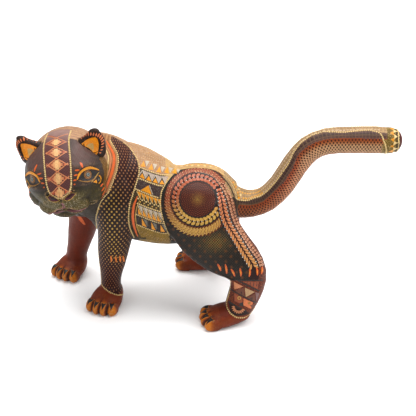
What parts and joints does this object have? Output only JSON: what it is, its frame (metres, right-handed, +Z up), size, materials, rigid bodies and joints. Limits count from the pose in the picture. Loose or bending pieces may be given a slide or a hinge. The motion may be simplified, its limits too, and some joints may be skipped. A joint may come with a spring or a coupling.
{
  "type": "carved cat figure",
  "caption": "Prowling carved wooden cat with turned head, pegged pull-out tail and ears, and dowelled legs.",
  "frame": {"origin": "middle of the outline seen from above, on the plane the paws stand on", "axes": "+Z up, +X towards the tip of the tail, -X ahead of the cat, -Y out of its left flank"},
  "size_m": [0.3556, 0.1454, 0.2064],
  "materials": {
    "body_wood": "hand-painted copal wood, satin varnish",
    "head_wood": "hand-painted copal wood, satin varnish",
    "leg_wood": "hand-painted copal wood, satin varnish",
    "ear_wood": "hand-painted copal wood, satin varnish",
    "tail_wood": "hand-painted copal wood, satin varnish",
    "dowel_wood": "plain turned hardwood"
  },
  "bodies": {
    "body": {"torso": "body_wood", "head": "head_wood", "foreleg_left": "leg_wood", "foreleg_right": "leg_wood", "hindleg_left": "leg_wood", "hindleg_right": "leg_wood", "neck_dowel": "dowel_wood", "shoulder_dowel_left": "dowel_wood", "shoulder_dowel_right": "dowel_wood", "hip_dowel_left": "dowel_wood", "hip_dowel_right": "dowel_wood"},
    "tail": {"tail": "tail_wood", "tail_peg": "dowel_wood"},
    "ear_left": {"ear_left": "ear_wood"},
    "ear_right": {"ear_right": "ear_wood"}
  },
  "joints": [
    {"name": "tail_pull", "type": "slide", "parent": "body", "child": "tail", "axis": [0.9781, 0, 0.2079], "range_m": [0, 0.04]},
    {"name": "ear_left_pull", "type": "slide", "parent": "body", "child": "ear_left", "axis": [0.5945, -0.1166, 0.7956], "range_m": [0, 0.018]},
    {"name": "ear_right_pull", "type": "slide", "parent": "body", "child": "ear_right", "axis": [-0.8003, 0.0104, 0.5995], "range_m": [0, 0.018]}
  ]
}
